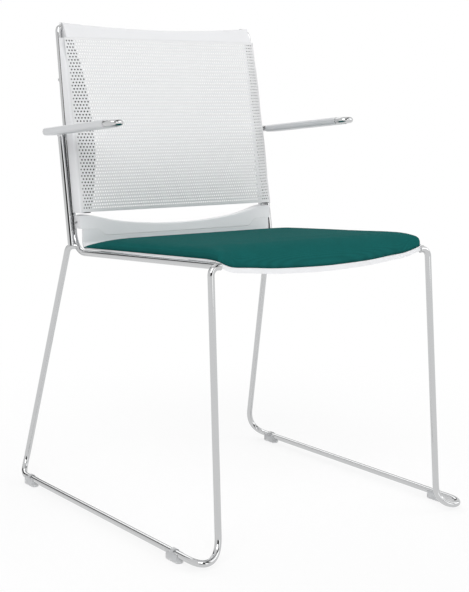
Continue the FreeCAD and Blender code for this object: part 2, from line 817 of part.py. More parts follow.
back_screw_heights = (belt_screw_height,
                      between(hem_height, back_top_height, member_low_screw_share),
                      between(hem_height, back_top_height, member_high_screw_share))
screw_length = rod_diameter + fit_gap + back_screw_bite
rod_holes = [back_pin(screw_diameter / 2 + screw_hole_gap, height, -rod_diameter, rod_diameter)
             for height in back_screw_heights]
bite_holes = [back_pin(screw_diameter / 2 + screw_thread_gap, height, 0,
                       rod_radius + fit_gap + back_screw_bite + screw_end_cover)
              for height in back_screw_heights]
back_screws = []
for height in back_screw_heights:
    head_face = -rod_radius - screw_thread_gap
    shank = back_pin(screw_diameter / 2, height, head_face, head_face + screw_length)
    head = back_pin(screw_head_diameter / 2, height, head_face - screw_head_height, head_face)
    back_screws.append(head.fuse(shank).removeSplitter())

rail_screw_foot = back_top_height + fit_gap - screw_thread_gap
rail_screw_top = upright_corner_height - rod_radius + rail_screw_bite
rail_screw_at = Vector(rail_screw_side, upright_corner.y, 0)


def rail_pin(radius, low, high):
    return Part.makeCylinder(radius, high - low, rail_screw_at + Vector(0, 0, low))


rail_screw = rail_pin(screw_diameter / 2, rail_screw_foot, rail_screw_top).fuse(
    rail_pin(screw_head_diameter / 2, rail_screw_foot - screw_head_height,
             rail_screw_foot)).removeSplitter()
rail_screw_hole = rail_pin(screw_diameter / 2 + screw_hole_gap, back_top_height, upright_corner_height)
rod_blind_hole = rail_pin(screw_diameter / 2 + screw_thread_gap, upright_corner_height - rod_diameter,
                          rail_screw_top + screw_end_cover / 2)

back_rod = back_rod_full.cut(front_stub)
for hole in rod_holes:
    back_rod = back_rod.cut(hole)
back_rod = back_rod.cut(rod_blind_hole)
side_member = member_raw.cut(mesh_room).cut(Part.makeCompound(bite_holes[1:]))
back_top_rail = top_rail_raw
for tool in (back_rod_clear, rail_screw_hole):
    back_top_rail = back_top_rail.cut(tool).cut(mirrored(tool))
lumbar_belt = belt_raw.common(belt_room)
for tool in (back_rod_clear, bite_holes[0]):
    lumbar_belt = lumbar_belt.cut(tool).cut(mirrored(tool))


def write(name, shapes):
    solids = []
    for shape in shapes:
        solids.extend(shape.Solids)
    placed = solids[0] if len(solids) == 1 else Part.makeCompound(solids)
    placed = placed.copy()
    placed.translate(Vector(0, standing_shift, 0))
    placed.exportStep("parts/" + name + ".step")


def write_pair(name, shape):
    write(name + "_left", [shape])
    write(name + "_right", [mirrored(shape)])


write_pair("sled_rod", sled_rod)
write_pair("seat_back_rod", back_rod)
write_pair("arm_rod", arm_rod)
write_pair("arm_pad", arm_pad)
write_pair("glide_front", glide(-glide_front_depth))
write_pair("glide_rear", glide(glide_rear_depth))
write_pair("back_side_member", side_member)
write("front_crossbar", [cross_bar(-front_bar_depth)])
write("rear_crossbar", [cross_bar(rear_bar_depth)])
write("crossbar_saddles", [saddle(side, depth) for side, depth in saddle_places()])
write("saddle_screws", saddle_screws)
write("seat_shell", [seat_shell])
write("seat_pad_board", [seat_pad_board])
write("seat_cushion", [seat_cushion])
write("back_mesh", [back_mesh])
write("back_top_rail", [back_top_rail])
write("lumbar_belt", [lumbar_belt])
write("back_screws", back_screws + [mirrored(screw) for screw in back_screws])
write("rail_screws", [rail_screw, mirrored(rail_screw)])
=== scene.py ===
import math

import bpy
import numpy as np
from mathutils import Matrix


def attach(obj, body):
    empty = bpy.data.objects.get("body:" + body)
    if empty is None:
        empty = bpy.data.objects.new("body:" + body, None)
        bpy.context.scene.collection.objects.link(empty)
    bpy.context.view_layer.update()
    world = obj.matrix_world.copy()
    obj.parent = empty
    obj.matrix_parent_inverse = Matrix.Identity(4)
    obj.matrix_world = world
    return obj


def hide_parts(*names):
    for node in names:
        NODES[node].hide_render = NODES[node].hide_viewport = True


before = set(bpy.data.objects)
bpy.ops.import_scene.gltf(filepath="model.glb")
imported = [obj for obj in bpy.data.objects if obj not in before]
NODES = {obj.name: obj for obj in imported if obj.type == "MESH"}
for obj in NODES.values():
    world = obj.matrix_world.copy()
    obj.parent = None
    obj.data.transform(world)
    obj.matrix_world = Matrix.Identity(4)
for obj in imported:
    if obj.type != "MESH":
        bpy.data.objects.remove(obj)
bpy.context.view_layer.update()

bl_info = {
    "name": "Mesh office chair",
    "version": (1, 0, 0),
    "blender": (4, 5, 0),
    "location": "3D View > Sidebar > Mesh chair",
    "description": "Finishes the chair: bright rods, mouldings, net back and seat pad",
    "category": "Object",
}

MM = 0.001


# Settings.
class RodLook(bpy.types.PropertyGroup):
    """Bright plated rods."""
    colour: bpy.props.FloatVectorProperty(
        name="Plate colour", description="Colour of the plated steel", subtype="COLOR",
        size=3, min=0.0, max=1.0, default=(0.565, 0.57, 0.575))
    roughness: bpy.props.FloatProperty(
        name="Roughness", description="Blur of the plate's reflections", default=0.06,
        min=0.0, max=1.0, subtype="FACTOR")


class MouldingLook(bpy.types.PropertyGroup):
    """Pale plastic mouldings: shell, belt, top rail, side members, arm pads."""
    shell: bpy.props.FloatVectorProperty(
        name="Shell colour", description="Colour of the seat and back mouldings",
        subtype="COLOR", size=3, min=0.0, max=1.0, default=(0.81, 0.815, 0.83))
    pad: bpy.props.FloatVectorProperty(
        name="Arm pad colour", description="Colour of the arm pads",
        subtype="COLOR", size=3, min=0.0, max=1.0, default=(0.64, 0.65, 0.665))
    # Painted shade: a dark colour on the side members' forward faces, seen through the net's
    # holes.
    painted_net_shade: bpy.props.FloatVectorProperty(
        name="Painted shade under the net", description="Painted shade on the side members' forward faces under the net",
        subtype="COLOR", size=3, min=0.0, max=1.0, default=(0.07, 0.07, 0.075))


class SeatPadLook(bpy.types.PropertyGroup):
    """Upholstered seat pad."""
    colour: bpy.props.FloatVectorProperty(
        name="Cloth colour", description="Main colour of the woven cloth",
        subtype="COLOR", size=3, min=0.0, max=1.0, default=(0.0085, 0.104, 0.099))
    crown: bpy.props.FloatProperty(
        name="Crown", description="Height of the pad's middle over the shell",
        default=16.6 * MM, unit="LENGTH")
    half_width: bpy.props.FloatProperty(
        name="Half width", description="Half of the pad's width", default=205.8 * MM,
        unit="LENGTH")
    rear_roll: bpy.props.FloatProperty(
        name="Rear roll", description="Length over which the pad falls to its rear edge",
        default=93.0 * MM, unit="LENGTH")
    voxel: bpy.props.FloatProperty(
        name="Cloth grid", description="Size of the cloth's cells while it is blown up",
        default=5.0 * MM, unit="LENGTH")
    cap: bpy.props.FloatProperty(
        name="Swell limit", description="Furthest that the cloth may move", default=3.0 * MM,
        unit="LENGTH")


class NetLook(bpy.types.PropertyGroup):
    """Knitted back net."""
    colour: bpy.props.FloatVectorProperty(
        name="Net colour", description="Colour of the net's yarn",
        subtype="COLOR", size=3, min=0.0, max=1.0, default=(0.805, 0.808, 0.816))
    column_pitch: bpy.props.FloatProperty(
        name="Column pitch", description="Distance between holes along a row",
        default=4.75 * MM, unit="LENGTH")
    row_pitch: bpy.props.FloatProperty(
        name="Row pitch", description="Distance between rows of holes", default=5.58 * MM,
        unit="LENGTH")
    hole_width: bpy.props.FloatProperty(
        name="Hole width", description="Width of a hole", default=2.4 * MM, unit="LENGTH")
    hole_height: bpy.props.FloatProperty(
        name="Hole height", description="Height of a hole", default=3.3 * MM, unit="LENGTH")
    thickness: bpy.props.FloatProperty(
        name="Thickness", description="Thickness of the knitted net", default=0.7 * MM,
        unit="LENGTH")


class StageLook(bpy.types.PropertyGroup):
    """Floor, lamps and camera."""
    lens: bpy.props.FloatProperty(
        name="Lens", description="Focal length on a 36 mm high sensor, in mm", default=80.05)
    camera_x: bpy.props.FloatProperty(
        name="Camera X", description="Camera position across the chair", default=-1.3151,
        unit="LENGTH")
    camera_y: bpy.props.FloatProperty(
        name="Camera Y", description="Camera position in front of the chair", default=-1.89275,
        unit="LENGTH")
    camera_z: bpy.props.FloatProperty(
        name="Camera Z", description="Camera height", default=0.7046, unit="LENGTH")
    yaw: bpy.props.FloatProperty(
        name="Yaw", description="Turn of the camera from the +Y direction", default=0.6091,
        subtype="ANGLE")
    pitch: bpy.props.FloatProperty(
        name="Pitch", description="Tilt of the camera below the horizon", default=0.1483,
        subtype="ANGLE")


# Node helpers.
def node(tree, kind, inputs=None, **settings):
    """Adds a node, sets its properties, and gives its inputs values or links."""
    made = tree.nodes.new(kind)
    for name, value in settings.items():
        setattr(made, name, value)
    for key, value in (inputs or {}).items():
        if isinstance(value, bpy.types.NodeSocket):
            tree.links.new(value, made.inputs[key])
        else:
            made.inputs[key].default_value = value
    return made


def math_node(tree, operation, *values):
    """A Math node's output for one to three values or sockets."""
    return node(tree, "ShaderNodeMath", dict(enumerate(values)), operation=operation).outputs[0]


def ramp(tree, value, start, end, low=0.0, high=1.0, shape="LINEAR"):
    """A Map Range node's output: low up to the start, high from the end on."""
    made = node(tree, "ShaderNodeMapRange", {"Value": value, "From Min": start, "From Max": end,
                                             "To Min": low, "To Max": high},
                interpolation_type=shape)
    return made.outputs[0]


def new_group(name, inputs, outputs):
    """A shader node group with named sockets; returns it with its input and output nodes."""
    group = bpy.data.node_groups.new(name, "ShaderNodeTree")
    for label, kind, value in inputs:
        socket = group.interface.new_socket(name=label, in_out="INPUT", socket_type=kind)
        if value is not None:
            socket.default_value = value
    for label, kind in outputs:
        group.interface.new_socket(name=label, in_out="OUTPUT", socket_type=kind)
    return group, group.nodes.new("NodeGroupInput"), group.nodes.new("NodeGroupOutput")


def weave_group():
    """Plain weave: two sets of round threads that pass over each other in turn.

    The height of the warp is |sin(pi x/p)| times a wave along y whose sign changes with
    each thread, the weft is the same turned by a right angle, and the cloth is the
    higher of the two.  Slow noise mixes a lighter and a darker yarn.  The height also
    scales the colour: painted shade in the dips between threads, lighter crests.
    """
    group, ins, outs = new_group(
        "woven cloth",
        [("Vector", "NodeSocketVector", None), ("Thread pitch", "NodeSocketFloat", 0.0011),
         ("Colour", "NodeSocketColor", (0.0, 0.1, 0.1, 1.0)),
         ("Yarn contrast", "NodeSocketFloat", 0.25)],
        [("Colour", "NodeSocketColor"), ("Height", "NodeSocketFloat"),
         ("Roughness", "NodeSocketFloat")])
    split = node(group, "ShaderNodeSeparateXYZ", {0: ins.outputs["Vector"]})
    across = math_node(group, "DIVIDE", split.outputs["X"], ins.outputs["Thread pitch"])
    along = math_node(group, "DIVIDE", split.outputs["Y"], ins.outputs["Thread pitch"])

    def thread(side, run):
        half_turn = math_node(group, "MULTIPLY", side, math.pi)
        round_top = math_node(group, "ABSOLUTE", math_node(group, "SINE", half_turn))
        number = math_node(group, "MULTIPLY", math_node(group, "FLOOR", side), math.pi)
        phase = math_node(group, "ADD", math_node(group, "MULTIPLY", run, math.pi), number)
        wave = math_node(group, "MULTIPLY_ADD", math_node(group, "SINE", phase), 0.5, 0.5)
        return math_node(group, "MULTIPLY", round_top, wave)

    warp = thread(across, along)
    weft = thread(along, math_node(group, "ADD", across, 1.0))
    height = math_node(group, "MAXIMUM", warp, weft)
    slow = node(group, "ShaderNodeTexNoise", {"Vector": ins.outputs["Vector"], "Scale": 34.0,
                                              "Detail": 3.0, "Roughness": 0.6})
    fine = node(group, "ShaderNodeTexNoise", {"Vector": ins.outputs["Vector"], "Scale": 620.0,
                                              "Detail": 2.0, "Roughness": 0.55})
    tone = math_node(group, "MULTIPLY_ADD", fine.outputs[0], 0.6,
                     math_node(group, "MULTIPLY", slow.outputs[0], 0.4))
    tone = math_node(group, "SUBTRACT", tone, 0.5)
    tone = math_node(group, "MULTIPLY_ADD", tone, ins.outputs["Yarn contrast"], 1.0)
    # Painted shade: the colour follows the thread height, darker in the dips between threads.
    lift = math_node(group, "MULTIPLY_ADD", height, 0.3, 0.82)
    value = math_node(group, "MULTIPLY", tone, lift)
    scale = node(group, "ShaderNodeVectorMath", {0: ins.outputs["Colour"]}, operation="SCALE")
    group.links.new(value, scale.inputs["Scale"])
    group.links.new(scale.outputs[0], outs.inputs["Colour"])
    group.links.new(height, outs.inputs["Height"])
    rough = math_node(group, "MULTIPLY_ADD", fine.outputs[0], 0.2, 0.72)
    group.links.new(rough, outs.inputs["Roughness"])
    return group


def wear_group():
    """Handling marks and dust: slow patches, fine grain and thin dust on faces that look up.

    The mark mask is noise pulled to its bright end, the dust mask is the upward part of
    the normal times another noise, and the grain is a fine noise used as relief.
    """
    group, ins, outs = new_group(
        "marks and dust",
        [("Vector", "NodeSocketVector", None), ("Colour", "NodeSocketColor", (0.7, 0.7, 0.7, 1)),
         ("Roughness", "NodeSocketFloat", 0.4), ("Patch size", "NodeSocketFloat", 14.0),
         ("Grain size", "NodeSocketFloat", 900.0), ("Amount", "NodeSocketFloat", 0.05),
         ("Dust", "NodeSocketFloat", 0.05)],
        [("Colour", "NodeSocketColor"), ("Roughness", "NodeSocketFloat"),
         ("Height", "NodeSocketFloat")])
    patches = node(group, "ShaderNodeTexNoise",
                   {"Vector": ins.outputs["Vector"], "Scale": ins.outputs["Patch size"],
                    "Detail": 4.0, "Roughness": 0.62})
    grain = node(group, "ShaderNodeTexNoise",
                 {"Vector": ins.outputs["Vector"], "Scale": ins.outputs["Grain size"],
                  "Detail": 1.5, "Roughness": 0.5})
    centred = math_node(group, "SUBTRACT", patches.outputs[0], 0.5)
    shade = math_node(group, "MULTIPLY_ADD", centred, ins.outputs["Amount"], 1.0)
    toned = node(group, "ShaderNodeVectorMath", {0: ins.outputs["Colour"]}, operation="SCALE")
    group.links.new(shade, toned.inputs["Scale"])
    normal = node(group, "ShaderNodeNewGeometry")
    up = node(group, "ShaderNodeSeparateXYZ", {0: normal.outputs["Normal"]})
    facing = math_node(group, "MAXIMUM", up.outputs["Z"], 0.0)
    veil = math_node(group, "MULTIPLY", math_node(group, "MULTIPLY", facing, patches.outputs[0]),
                     ins.outputs["Dust"])
    mix = node(group, "ShaderNodeMix",
               {"Factor": veil, 6: toned.outputs[0], 7: (0.62, 0.60, 0.57, 1.0)},
               data_type="RGBA")
    group.links.new(mix.outputs[2], outs.inputs["Colour"])
    rough = math_node(group, "MULTIPLY_ADD", centred, ins.outputs["Amount"],
                      ins.outputs["Roughness"])
    rough = math_node(group, "ADD", rough, math_node(group, "MULTIPLY", veil, 0.5))
    group.links.new(rough, outs.inputs["Roughness"])
    group.links.new(grain.outputs[0], outs.inputs["Height"])
    return group


def knit_group():
    """Knitted yarn: fine diagonal ribs, two families of sine ridges that cross, with painted shade
    between the ridges.
    """
    group, ins, outs = new_group(
        "knitted yarn",
        [("Vector", "NodeSocketVector", None), ("Colour", "NodeSocketColor", (0.8, 0.8, 0.8, 1)),
         ("Yarn pitch", "NodeSocketFloat", 0.0012)],
        [("Colour", "NodeSocketColor"), ("Height", "NodeSocketFloat")])
    split = node(group, "ShaderNodeSeparateXYZ", {0: ins.outputs["Vector"]})
    rise = math_node(group, "ADD", split.outputs["X"], split.outputs["Z"])
    fall = math_node(group, "SUBTRACT", split.outputs["X"], split.outputs["Z"])
    factor = math_node(group, "DIVIDE", math.tau, ins.outputs["Yarn pitch"])
    ridges = math_node(group, "MULTIPLY",
                       math_node(group, "SINE", math_node(group, "MULTIPLY", rise, factor)),
                       math_node(group, "SINE", math_node(group, "MULTIPLY", fall, factor)))
    noise = node(group, "ShaderNodeTexNoise", {"Vector": ins.outputs["Vector"], "Scale": 260.0,
                                               "Detail": 2.0})
    shade = math_node(group, "MULTIPLY_ADD", noise.outputs[0], 0.1, 0.95)
    # Painted shade: the colour follows the ridges' height, darker between them.
    shade = math_node(group, "MULTIPLY", shade,
                      math_node(group, "MULTIPLY_ADD", ridges, 0.04, 0.97))
    toned = node(group, "ShaderNodeVectorMath", {0: ins.outputs["Colour"]}, operation="SCALE")
    group.links.new(shade, toned.inputs["Scale"])
    group.links.new(toned.outputs[0], outs.inputs["Colour"])
    group.links.new(ridges, outs.inputs["Height"])
    return group


GROUPS = {}


def group_node(tree, name, inputs):
    """Places one of the shared groups, built on first use."""
    makers = {"woven cloth": weave_group, "marks and dust": wear_group, "knitted yarn": knit_group}
    if name not in GROUPS:
        GROUPS[name] = makers[name]()
    return node(tree, "ShaderNodeGroup", inputs, node_tree=GROUPS[name])


def new_material(name, **shader_values):
    """A material with a Principled shader whose constant sockets are set directly."""
    material = bpy.data.materials.new(name)
    material.use_nodes = True
    tree = material.node_tree
    shader = tree.nodes["Principled BSDF"]
    for label, value in shader_values.items():
        shader.inputs[label.replace("_", " ")].default_value = value
    return material, tree, shader


def relief(tree, shader, height, distance, strength):
    """Feeds a height into the shader's normal through a Bump node."""
    bump = node(tree, "ShaderNodeBump", {"Height": height, "Distance": distance,
                                         "Strength": strength})
    tree.links.new(bump.outputs[0], shader.inputs["Normal"])


def rgba(colour):
    """A colour with full alpha."""
    return (colour[0], colour[1], colour[2], 1.0)


def worn_material(name, colour, roughness, amount, dust, patch_size, grain_size, grain_depth,
                  **shader_values):
    """Any hard finish: the marks and dust group drives colour, roughness and relief."""
    material, tree, shader = new_material(name, **shader_values)
    place = node(tree, "ShaderNodeTexCoord")
    marks = group_node(tree, "marks and dust",
                       {"Vector": place.outputs["Object"], "Colour": rgba(colour),
                        "Roughness": roughness, "Patch size": patch_size,
                        "Grain size": grain_size, "Amount": amount, "Dust": dust})
    tree.links.new(marks.outputs["Colour"], shader.inputs["Base Color"])
    tree.links.new(marks.outputs["Roughness"], shader.inputs["Roughness"])
    relief(tree, shader, marks.outputs["Height"], grain_depth, 0.25)
    return material


def paint(names, material):
    """Gives CAD nodes a material."""
    for name in names:
        slots = NODES[name].data.materials
        slots.clear()
        slots.append(material)


def both(stem):
    """The names of the left and the right node of a pair."""
    return [stem + "_left", stem + "_right"]


# Shapes.
def mesh_piece(name, points, faces, material):
    """A new object from point and face arrays, riding on the chair."""
    mesh = bpy.data.meshes.new(name)
    mesh.from_pydata(points.tolist(), [], faces.tolist())
    mesh.update()
    made = bpy.data.objects.new(name, mesh)
    bpy.context.scene.collection.objects.link(made)
    mesh.materials.append(material)
    mesh.polygons.foreach_set("use_smooth", np.ones(len(mesh.polygons), dtype=bool))
    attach(made, "root")
    return made


def apply_modifiers(made):
    """Turns an object's modifiers into its mesh."""
    graph = bpy.context.evaluated_depsgraph_get()
    mesh = bpy.data.meshes.new_from_object(made.evaluated_get(graph))
    old = made.data
    made.modifiers.clear()
    made.data = mesh
    bpy.data.meshes.remove(old)


# Sizes in metres.  Depths count from the middle of the legs' feet, and the shift moves
# them to the frame's own zero.
SHIFT = 0.01015
# The shell's upper face: its height at zero depth, its slope towards the front, the length
# over which it falls in front, and the depth of its rear wall.
SEAT_TOP = 0.45155
SEAT_SLOPE = 0.0475
FALL_RUN = 0.042
WALL_DEPTH = 0.1605
# Stations from the middle to the side, and at each the shell's reach and its fall.
STATIONS = 0.215 * np.array([0.0, 0.25, 0.5, 0.7, 0.84, 0.93, 1.0])
REACH = 0.271 * np.array([1.0, 0.998, 0.99, 0.982, 0.986, 1.005, 1.026])
FALL = 0.0246 * np.array([1.0, 0.955, 0.85, 0.685, 0.532, 0.245, 0.04])


def spline(knots, values, at):
    """Natural cubic spline through the values at the knots."""
    step = np.diff(knots)
    count = len(knots)
    matrix = np.eye(count)
    right = np.zeros(count)
    inner = np.arange(1, count - 1)
    matrix[inner, inner - 1] = step[:-1]
    matrix[inner, inner] = 2 * (step[:-1] + step[1:])
    matrix[inner, inner + 1] = step[1:]
    slope = np.diff(values) / step
    right[1:-1] = 6 * np.diff(slope)
    curve = np.linalg.solve(matrix, right)
    place = np.clip(np.searchsorted(knots, at) - 1, 0, count - 2)
    gap = step[place]
    ahead = at - knots[place]
    behind = gap - ahead
    return ((curve[place] * behind ** 3 + curve[place + 1] * ahead ** 3) / (6 * gap)
            + (values[place] / gap - curve[place] * gap / 6) * behind
            + (values[place + 1] / gap - curve[place + 1] * gap / 6) * ahead)


def across_seat(values, x):
    """Spline through values given from the middle to the side, the same on both sides."""
    knots = np.concatenate([-STATIONS[:0:-1], STATIONS])
    return spline(knots, np.concatenate([values[:0:-1], values]), x)


def seat_top(x, y):
    """Height of the shell's upper face: a sloping plane that falls along a circle in front.

    The circle leaves the plane smoothly and ends at the reach, lower by the fall:
    its radius is (run^2 + fall^2) / (2 fall).
    """
    fall = across_seat(FALL, x)
    run = np.clip(FALL_RUN - across_seat(REACH, x) - y, 0.0, FALL_RUN)
    radius = (FALL_RUN ** 2 + fall ** 2) / (2 * fall)
    return SEAT_TOP - SEAT_SLOPE * y - radius + np.sqrt(radius ** 2 - run ** 2)


def round_over(distance, radius, power):
    """Rises from 0 at an edge to 1 at the radius along a superellipse."""
    share = np.clip(distance / radius, 0.0, 1.0)
    return (1 - (1 - share) ** power) ** (1 / power)


def eased(count):
    """Numbers from -1 to 1 that lie closer together at both ends."""
    return np.sin(np.linspace(-math.pi / 2, math.pi / 2, count))


# The pad: gaps to the shell's front edge, rear wall and upper face, how much lower its
# crest is for each metre of depth, the share of its half width where the corners begin,
# how far they draw in at the front and the rear, and the radius and power of its edges.
FRONT_GAP = 0.0006
WALL_GAP = 0.0012
UNDER_GAP = 0.0004
CREST_SLOPE = 0.009
CORNER_START = 0.965
FRONT_CORNER = 0.006
REAR_CORNER = 0.003
SIDE_ROUND = 0.048
SIDE_POWER = 4.8
FRONT_ROUND = 0.015
FRONT_POWER = 4.0
REAR_POWER = 1.42


def pad_surface(look, lift=None, columns=141, rows=161):
    """Upper and lower sheet of the seat pad on one grid, meeting along its outline.

    The lower sheet lies on the shell.  The upper one is higher by the crest, which grows
    towards the front, times the rounding of each edge: a product of superellipses of the
    distances from the sides, the front and the rear.  A lift map adds the cloth's swelling.
    """
    across, along = np.meshgrid(eased(columns), (eased(rows) + 1) / 2)
    x = across * look.half_width
    corner = np.clip((np.abs(across) - CORNER_START) / (1 - CORNER_START), 0.0, 1.0)
    front = FRONT_GAP - across_seat(REACH, x) + FRONT_CORNER * (1 - np.sqrt(1 - corner ** 2))
    rear = WALL_DEPTH - WALL_GAP - REAR_CORNER * corner ** 2
    y = rear + along * (front - rear)
    low = seat_top(x, y) + UNDER_GAP
    side_edge = (1 - np.abs(across)) * look.half_width
    front_edge = (1 - along) * (rear - front)
    rear_edge = along * (rear - front)
    rounding = (round_over(side_edge, SIDE_ROUND, SIDE_POWER)
                * round_over(front_edge, FRONT_ROUND, FRONT_POWER)
                * round_over(rear_edge, look.rear_roll, REAR_POWER))
    high = low + (look.crown - CREST_SLOPE * y) * rounding
    if lift is not None:
        high = high + read_map(lift, x, y) * rounding ** 2
    return x, y, low, high


# The map of the cloth's rise: the size of its square cells and their number a side.
MAP_STEP = 0.010
MAP_CELLS = 50


def read_map(values, x, y):
    """Reads a map of square cells at points, straight between the cells' middles."""
    column = np.clip(x / MAP_STEP + MAP_CELLS / 2, 0, MAP_CELLS - 1.001)
    row = np.clip(y / MAP_STEP + MAP_CELLS / 2, 0, MAP_CELLS - 1.001)
    i, j = row.astype(int), column.astype(int)
    v, u = row - i, column - j
    return ((values[i, j] * (1 - u) + values[i, j + 1] * u) * (1 - v)
            + (values[i + 1, j] * (1 - u) + values[i + 1, j + 1] * u) * v)


def fill_map(x, y, values):
    """Means of scattered values in square cells, then a few rounds of even smoothing."""
    column = np.clip(np.round(x / MAP_STEP + MAP_CELLS / 2), 0, MAP_CELLS - 1).astype(int)
    row = np.clip(np.round(y / MAP_STEP + MAP_CELLS / 2), 0, MAP_CELLS - 1).astype(int)
    total = np.zeros((MAP_CELLS, MAP_CELLS))
    count = np.zeros((MAP_CELLS, MAP_CELLS))
    np.add.at(total, (row, column), values)
    np.add.at(count, (row, column), 1.0)
    filled = total / np.maximum(count, 1.0)
    for _ in range(3):
        wide = np.pad(filled, 1, mode="edge")
        filled = (2 * filled + wide[:-2, 1:-1] + wide[2:, 1:-1] + wide[1:-1, :-2]
                  + wide[1:-1, 2:]) / 6
    return filled


def closed_grid(x, y, low, high):
    """Points and faces of two sheets that share the points of their outline."""
    rows, columns = x.shape
    top = np.stack([x, y + SHIFT, high], axis=-1).reshape(-1, 3)
    bottom = np.stack([x, y + SHIFT, low], axis=-1).reshape(-1, 3)
    number = np.arange(rows * columns).reshape(rows, columns)
    inner = np.zeros((rows, columns), dtype=bool)
    inner[1:-1, 1:-1] = True
    under = number.copy()
    under[inner] = rows * columns + np.arange(int(inner.sum()))
    points = np.concatenate([top, bottom[inner.reshape(-1)]])

    def quads(index):
        return np.stack([index[:-1, :-1], index[:-1, 1:], index[1:, 1:], index[1:, :-1]],
                        axis=-1).reshape(-1, 4)

    faces = np.concatenate([quads(number)[:, ::-1], quads(under)])
    return points, faces


# Points of the cloth that are lower than the first height over the shell are held, and
# those that are higher than the second give the map.
HELD_BELOW = 0.0045
READ_ABOVE = 0.010
CLOTH_FRAMES = 20


def swell(look, points, faces):
    """How far a blown-up copy of the pad rises, as a map over the seat.

    The copy is remeshed, runs as cloth under pressure while the points on the shell are
    held, and is removed again.  A rise r counts as cap r / (cap + r), so it never passes
    the cap.
    """
    mesh = bpy.data.meshes.new("pad cloth")
    mesh.from_pydata(points.tolist(), [], faces.tolist())
    made = bpy.data.objects.new("pad cloth", mesh)
    scene = bpy.context.scene
    scene.collection.objects.link(made)
    remesh = made.modifiers.new("grid", "REMESH")
    remesh.mode = "VOXEL"
    remesh.voxel_size = look.voxel
    apply_modifiers(made)
    start = read_points(made)
    above = start[:, 2] - seat_top(start[:, 0], start[:, 1] - SHIFT)
    held = made.vertex_groups.new(name="held")
    held.add(np.nonzero(above < HELD_BELOW)[0].tolist(), 1.0, "REPLACE")
    cloth = made.modifiers.new("cloth", "CLOTH")
    cloth.settings.use_pressure = True
    cloth.settings.uniform_pressure_force = 4.0
    cloth.settings.vertex_group_mass = "held"
    cloth.settings.tension_stiffness = 25.0
    cloth.settings.compression_stiffness = 25.0
    cloth.settings.bending_stiffness = 2.0
    cloth.settings.effector_weights.gravity = 0.0
    cloth.point_cache.frame_start = 1
    cloth.point_cache.frame_end = CLOTH_FRAMES
    for frame_number in range(1, CLOTH_FRAMES + 1):
        scene.frame_set(frame_number)
    apply_modifiers(made)
    scene.frame_set(1)
    rise = np.maximum(read_points(made)[:, 2] - start[:, 2], 0.0)
    rise = look.cap * rise / (look.cap + rise)
    top = above > READ_ABOVE
    lift = fill_map(start[top, 0], start[top, 1] - SHIFT, rise[top])
    bpy.data.objects.remove(made)
    return lift


def read_points(made):
    """An object's mesh points as an array."""
    points = np.empty(len(made.data.vertices) * 3)
    made.data.vertices.foreach_get("co", points)
    return points.reshape(-1, 3)


# The net's lowest and highest point, levels between them as shares, and at each level how
# far the outer edge and the crease lie in front of the upright, how far the crease lies
# inside the back's half width, and how hollow the net is between its creases.
HEM_HEIGHT = 0.507
BACK_TOP = 0.8134
LEVELS = np.array([0.0, 0.1637, 0.3012, 0.4388, 0.5698, 0.704, 0.8743, 1.0])
OUTER = 0.0333 * np.array([1.0, 0.94, 0.928, 0.847, 0.742, 0.715, 0.568, 0.505])
CREASE = 0.050 * np.array([0.687, 0.91, 1.0, 1.0, 0.914, 0.824, 0.648, 0.436])
INSET = 0.0325 * np.array([0.615, 0.831, 0.954, 1.0, 0.985, 0.923, 0.8, 0.692])
HOLLOW = 0.003 * np.array([0.41, 0.57, 0.69, 0.82, 0.9, 0.94, 0.98, 1.0])
NET_HALF_WIDTH = 0.2055
BACK_HALF_WIDTH = 0.206
CREASE_ROUND = 0.0022
# Depth of the upright's centre line at one height, and its lean.
UPRIGHT_DEPTH = 0.212
UPRIGHT_HEIGHT = 0.6645
UPRIGHT_LEAN = 0.1375
# Closed bands of the net: at its sides, along the hem with the fold inside it, and along
# its top.
SIDE_BAND = 0.001
HEM_BAND = 0.0045
HEM_FOLD = 0.002
TOP_BAND = 0.003


def upright_depth(z):
    """Depth of the leaning upright's centre line at a height."""
    return UPRIGHT_DEPTH + (z - UPRIGHT_HEIGHT) * UPRIGHT_LEAN


def net_depth(x, z):
    """Depth of the net: straight from its outer edge to the crease, hollow between creases.

    The hollow is a parabola across the back.  The depth is the greater of both parts, and
    a square root in place of their distance takes the corner off the crease.
    """
    share = np.clip((z - HEM_HEIGHT) / (BACK_TOP - HEM_HEIGHT), 0.0, 1.0)
    rod = upright_depth(z)
    crease_x = BACK_HALF_WIDTH - spline(LEVELS, INSET, share)
    crease_y = rod - spline(LEVELS, CREASE, share)
    outer_y = rod - spline(LEVELS, OUTER, share)
    hollow = spline(LEVELS, HOLLOW, share)
    side = np.abs(x)
    inner = crease_y + hollow * (1 - (side / crease_x) ** 2)
    outer = crease_y + (outer_y - crease_y) * (side - crease_x) / (BACK_HALF_WIDTH - crease_x)
    apart = np.sqrt((inner - outer) ** 2 + CREASE_ROUND ** 2)
    return (inner + outer + apart) / 2 - CREASE_ROUND / 2


